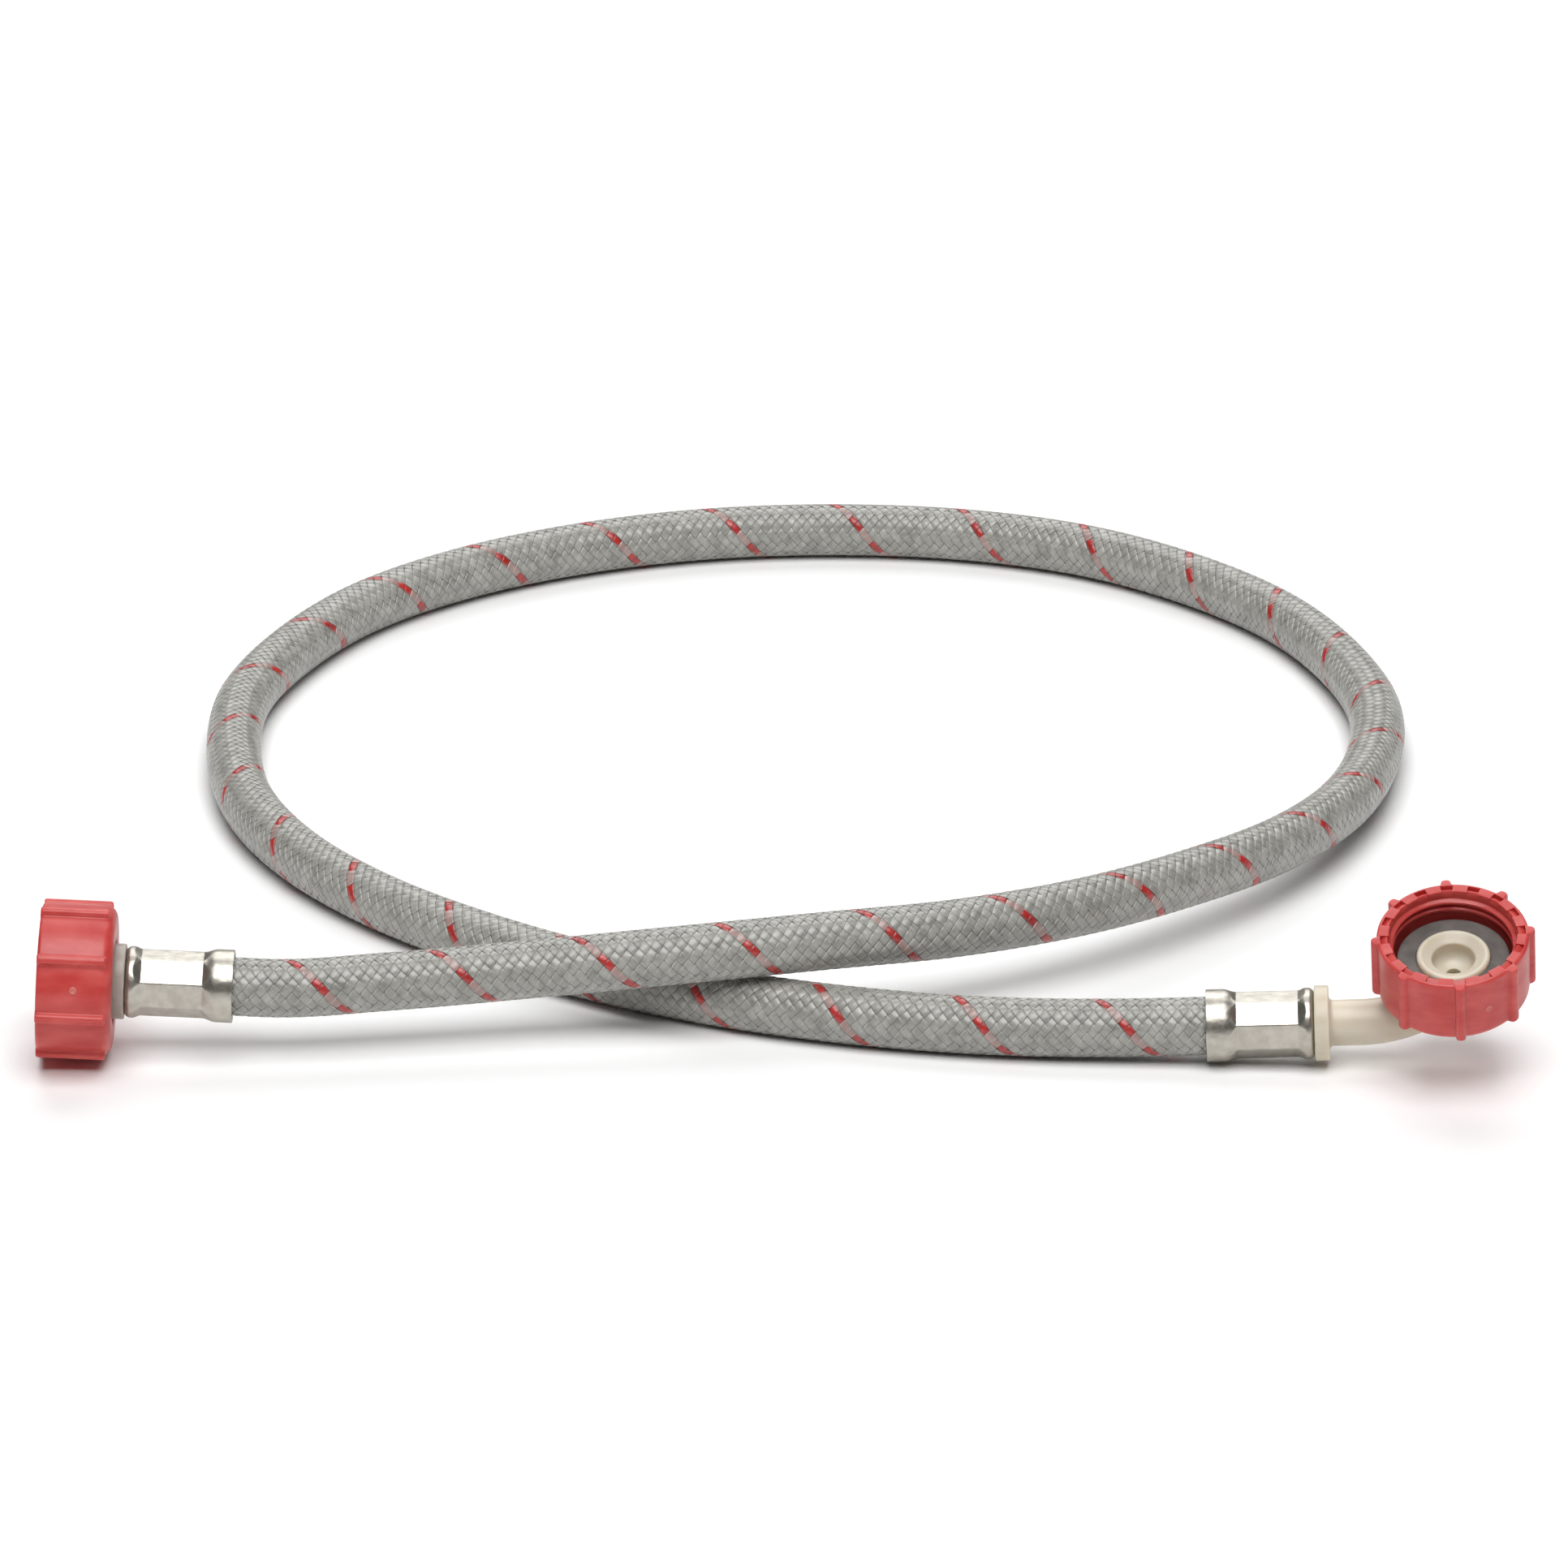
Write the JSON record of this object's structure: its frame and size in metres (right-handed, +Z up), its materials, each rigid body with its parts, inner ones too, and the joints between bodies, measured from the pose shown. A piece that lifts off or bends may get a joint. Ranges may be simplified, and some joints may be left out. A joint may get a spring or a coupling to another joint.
{
  "type": "braided supply line",
  "caption": "Braided supply hose lying in a loop, with a straight and an elbow swivel union nut for a washing machine or tap.",
  "frame": {"origin": "on the floor, below the middle of the two end fittings' box", "axes": "+X from the straight nut to the elbow nut, +Y towards the loop, +Z up"},
  "size_m": [0.3045, 0.3114, 0.0377],
  "materials": {
    "nut_plastic": "moulded, satin gloss",
    "nylon_ivory": "moulded, slightly translucent",
    "nylon_grey": "moulded, satin",
    "ferrule_steel": "pressed, bright",
    "washer_rubber": "matt",
    "tube_rubber": "matt",
    "braid_nylon": "woven translucent ribbons with one red tracer ribbon"
  },
  "bodies": {
    "hose": {"hose_liner": "tube_rubber", "hose_braid": "braid_nylon", "straight_ferrule": "ferrule_steel", "straight_tail": "nylon_grey", "straight_gasket": "washer_rubber", "elbow_ferrule": "ferrule_steel", "elbow_tail": "nylon_ivory", "elbow_gasket": "washer_rubber"},
    "straight_nut": {"straight_nut": "nut_plastic"},
    "elbow_nut": {"elbow_nut": "nut_plastic"}
  },
  "joints": [
    {"name": "straight_nut_spin", "type": "hinge", "parent": "hose", "child": "straight_nut", "pos_m": [-0.14376, 0.006, 0.01679], "axis": [-0.9988, 0, 0.0499], "continuous": true},
    {"name": "elbow_nut_spin", "type": "hinge", "parent": "hose", "child": "elbow_nut", "pos_m": [0.13531, -0.00418, 0.02513], "axis": [-0.0634, -0.3228, 0.9443], "continuous": true}
  ]
}
